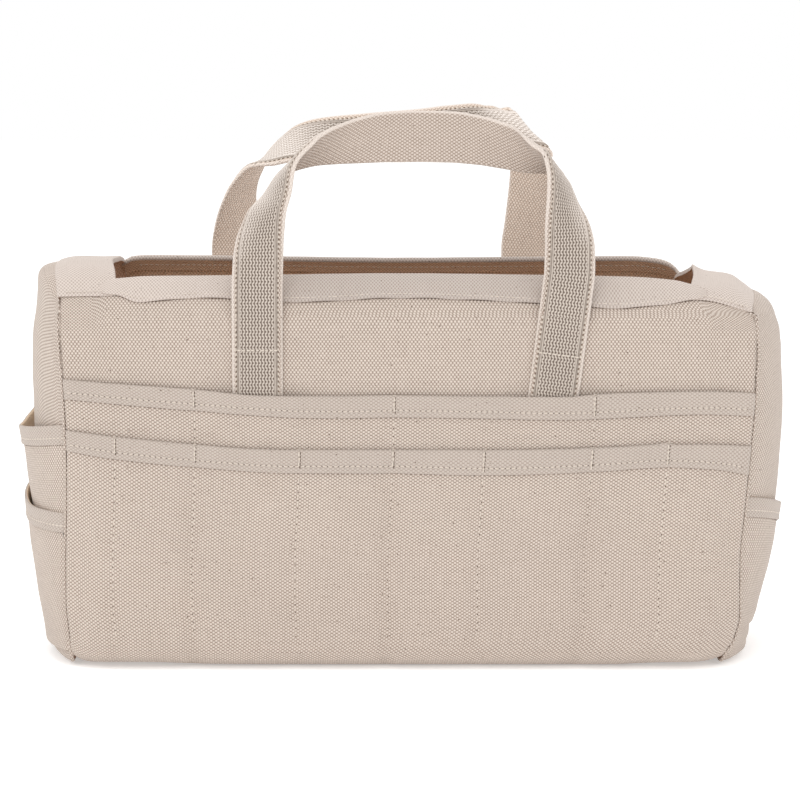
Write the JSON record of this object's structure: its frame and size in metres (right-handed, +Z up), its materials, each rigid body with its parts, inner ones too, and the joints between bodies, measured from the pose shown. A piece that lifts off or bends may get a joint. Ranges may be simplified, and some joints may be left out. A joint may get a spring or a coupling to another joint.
{
  "type": "knitting bag",
  "caption": "Boxy open-topped canvas bag with a slot opening, hemmed outside pockets on all four sides and a pair of folding webbing-faced strap handles.",
  "frame": {"origin": "middle of the flat base, at the surface the bag stands on", "axes": "+Z up, +X along the bag's length towards the end with one pocket, the front faces -Y"},
  "size_m": [0.5101, 0.2022, 0.3567],
  "materials": {
    "canvas": "heavy natural cotton duck, plain weave, matt",
    "trim_canvas": "the same duck, folded to hems and bands",
    "webbing": "chevron cotton webbing, matt",
    "thread": "natural cotton sewing thread"
  },
  "bodies": {
    "bag": {"body_wrap": "canvas", "left_end_panel": "canvas", "right_end_panel": "canvas", "left_top_cap": "trim_canvas", "right_top_cap": "trim_canvas", "front_rim_band": "trim_canvas", "back_rim_band": "trim_canvas", "front_upper_pocket": "canvas", "front_lower_pocket": "canvas", "back_upper_pocket": "canvas", "back_lower_pocket": "canvas", "left_end_upper_pocket": "canvas", "left_end_lower_pocket": "canvas", "right_end_pocket": "canvas", "front_bar_tacks": "thread", "back_bar_tacks": "thread", "front_left_strap_end": "canvas", "front_left_webbing_end": "webbing", "front_right_strap_end": "canvas", "front_right_webbing_end": "webbing", "back_left_strap_end": "canvas", "back_left_webbing_end": "webbing", "back_right_strap_end": "canvas", "back_right_webbing_end": "webbing"},
    "front_handle_base": {"front_left_strap_leg": "canvas", "front_left_webbing_leg": "webbing", "front_right_strap_leg": "canvas", "front_right_webbing_leg": "webbing"},
    "front_handle": {"front_handle_strap": "canvas", "front_handle_webbing": "webbing"},
    "back_handle_base": {"back_left_strap_leg": "canvas", "back_left_webbing_leg": "webbing", "back_right_strap_leg": "canvas", "back_right_webbing_leg": "webbing"},
    "back_handle": {"back_handle_strap": "canvas", "back_handle_webbing": "webbing"}
  },
  "joints": [
    {"name": "front_handle_fold_out", "type": "hinge", "parent": "bag", "child": "front_handle_base", "pos_m": [0, -0.087, 0.2055], "axis": [1, 0, 0], "range_deg": [0, 155]},
    {"name": "front_handle_lean_in", "type": "hinge", "parent": "front_handle_base", "child": "front_handle", "pos_m": [0, -0.083, 0.241], "axis": [-1, 0, 0], "range_deg": [0, 44]},
    {"name": "back_handle_fold_out", "type": "hinge", "parent": "bag", "child": "back_handle_base", "pos_m": [0, 0.087, 0.2055], "axis": [-1, 0, 0], "range_deg": [0, 155]},
    {"name": "back_handle_lean_in", "type": "hinge", "parent": "back_handle_base", "child": "back_handle", "pos_m": [0, 0.083, 0.241], "axis": [1, 0, 0], "range_deg": [0, 44]}
  ]
}
